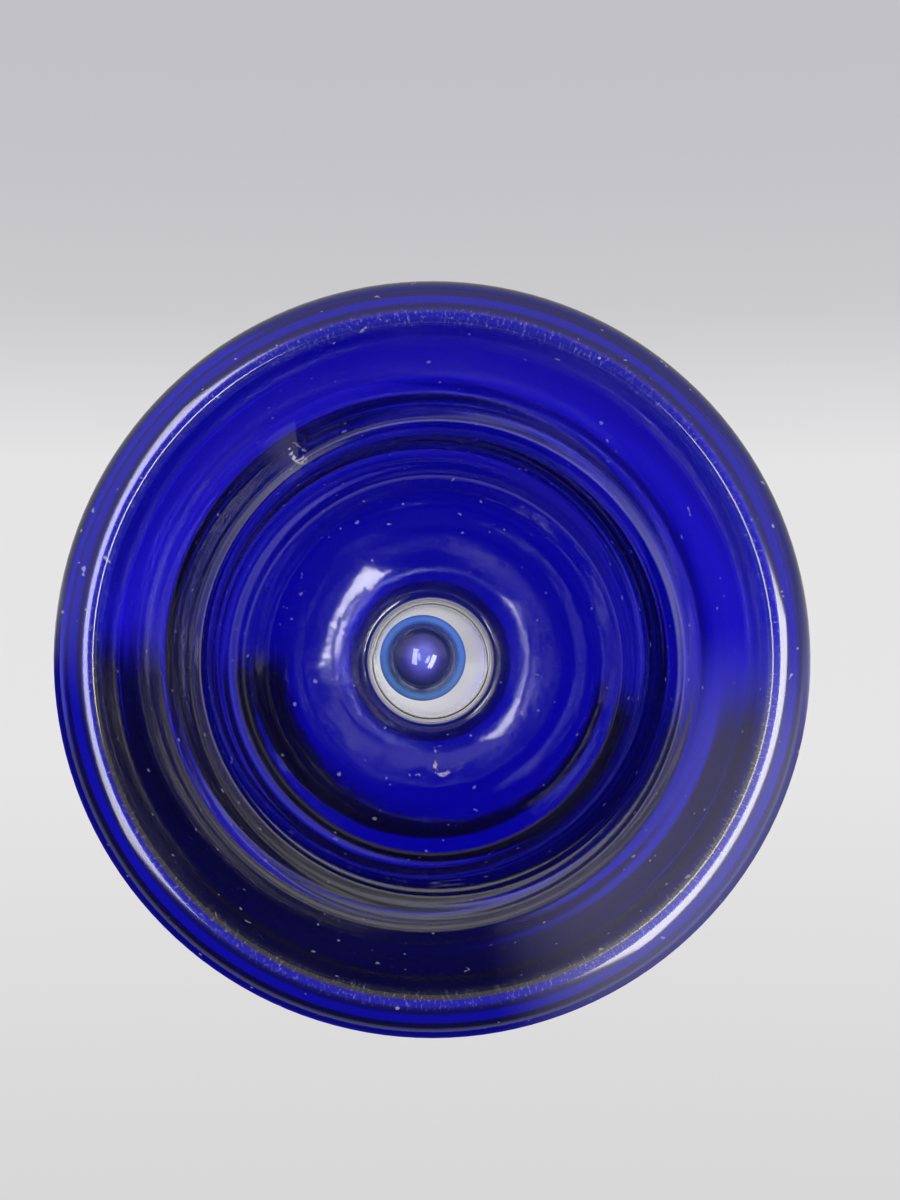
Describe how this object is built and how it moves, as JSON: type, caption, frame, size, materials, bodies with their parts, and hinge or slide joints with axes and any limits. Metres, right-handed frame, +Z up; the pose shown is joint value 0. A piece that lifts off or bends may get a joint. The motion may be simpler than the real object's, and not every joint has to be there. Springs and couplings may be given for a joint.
{
  "type": "glass hand bell",
  "caption": "Hand bell with a flared cobalt glass shell, a clear glass knopped handle and a glass ball clapper hung on a short wire chain.",
  "frame": {"origin": "middle of the mouth, on the surface that the bell stands on", "axes": "+Z up the bell's axis towards the handle, +X to the right and +Y away at rest; the main swing of the clapper is in the YZ plane"},
  "size_m": [0.095, 0.095, 0.152],
  "materials": {
    "cobalt_glass": "fire-polished cobalt glass with fine scuffs on the ring it stands on",
    "clear_glass": "clear solid glass, fire-polished",
    "clapper_glass": "polished cobalt glass ball",
    "cement": "translucent hardened resin",
    "plated_wire": "nickel-plated steel wire, drawn and a little dulled"
  },
  "bodies": {
    "bell": {"bell_shell": "cobalt_glass", "handle": "clear_glass", "handle_bedding": "cement", "socket_resin": "cement", "hanging_eye": "plated_wire"},
    "link_1": {"chain_link_1": "plated_wire"},
    "link_2": {"chain_link_2": "plated_wire"},
    "link_3": {"chain_link_3": "plated_wire"},
    "link_4": {"chain_link_4": "plated_wire"},
    "clapper": {"clapper_wire": "plated_wire", "clapper_ball": "clapper_glass"}
  },
  "joints": [
    {"name": "eye_swing", "type": "hinge", "parent": "bell", "child": "link_1", "pos_m": [-0.0013, 0, 0.0625], "axis": [1, 0, 0], "range_deg": [-17.5, 17.5]},
    {"name": "link_1_swing", "type": "hinge", "parent": "link_1", "child": "link_2", "pos_m": [-0.0013, 0, 0.0568], "axis": [0, 1, 0], "range_deg": [-7, 7]},
    {"name": "link_2_swing", "type": "hinge", "parent": "link_2", "child": "link_3", "pos_m": [-0.0013, 0, 0.0511], "axis": [1, 0, 0], "range_deg": [-17.5, 17.5]},
    {"name": "link_3_swing", "type": "hinge", "parent": "link_3", "child": "link_4", "pos_m": [-0.0013, 0, 0.0454], "axis": [0, 1, 0], "range_deg": [-7, 7]},
    {"name": "clapper_swing", "type": "hinge", "parent": "link_4", "child": "clapper", "pos_m": [-0.0013, 0, 0.0397], "axis": [1, 0, 0], "range_deg": [-17.5, 17.5]}
  ]
}
